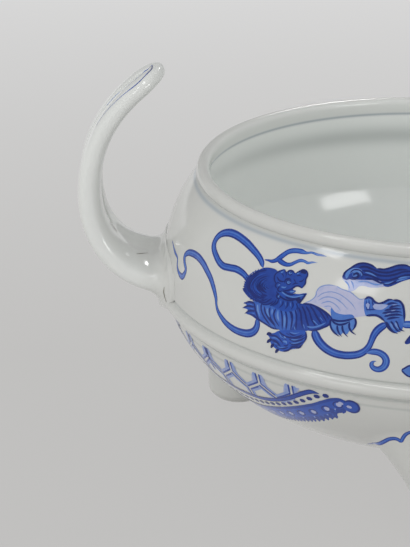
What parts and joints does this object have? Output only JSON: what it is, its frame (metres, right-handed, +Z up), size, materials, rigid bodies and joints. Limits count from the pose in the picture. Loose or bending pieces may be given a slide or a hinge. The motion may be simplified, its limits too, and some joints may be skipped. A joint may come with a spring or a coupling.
{
  "type": "tripod incense burner",
  "caption": "Blue-and-white glazed porcelain censer: round bulbous bowl with rolled lip and raised waist band, tall slotted strap handles and stub legs with flared roots.",
  "frame": {"origin": "on the bowl's axis at the level of the surface that the legs stand on", "axes": "+Z up along the bowl's axis, +X from the left handle to the right handle, -Y towards the front leg"},
  "size_m": [0.325, 0.2544, 0.1869],
  "materials": {
    "glazed_porcelain": "clear glossy glaze, faintly blue-green, over white porcelain",
    "cobalt_painting": "cobalt blue brushwork under the same glossy glaze",
    "bare_clay": "unglazed fired clay, matt, on the soles"
  },
  "bodies": {
    "root": {"shoulder_wall": "glazed_porcelain", "waist_band": "glazed_porcelain", "lower_bowl": "glazed_porcelain", "handle_left": "glazed_porcelain", "handle_right": "glazed_porcelain", "leg_front": "glazed_porcelain", "leg_rear_left": "glazed_porcelain", "leg_rear_right": "glazed_porcelain"}
  },
  "joints": []
}
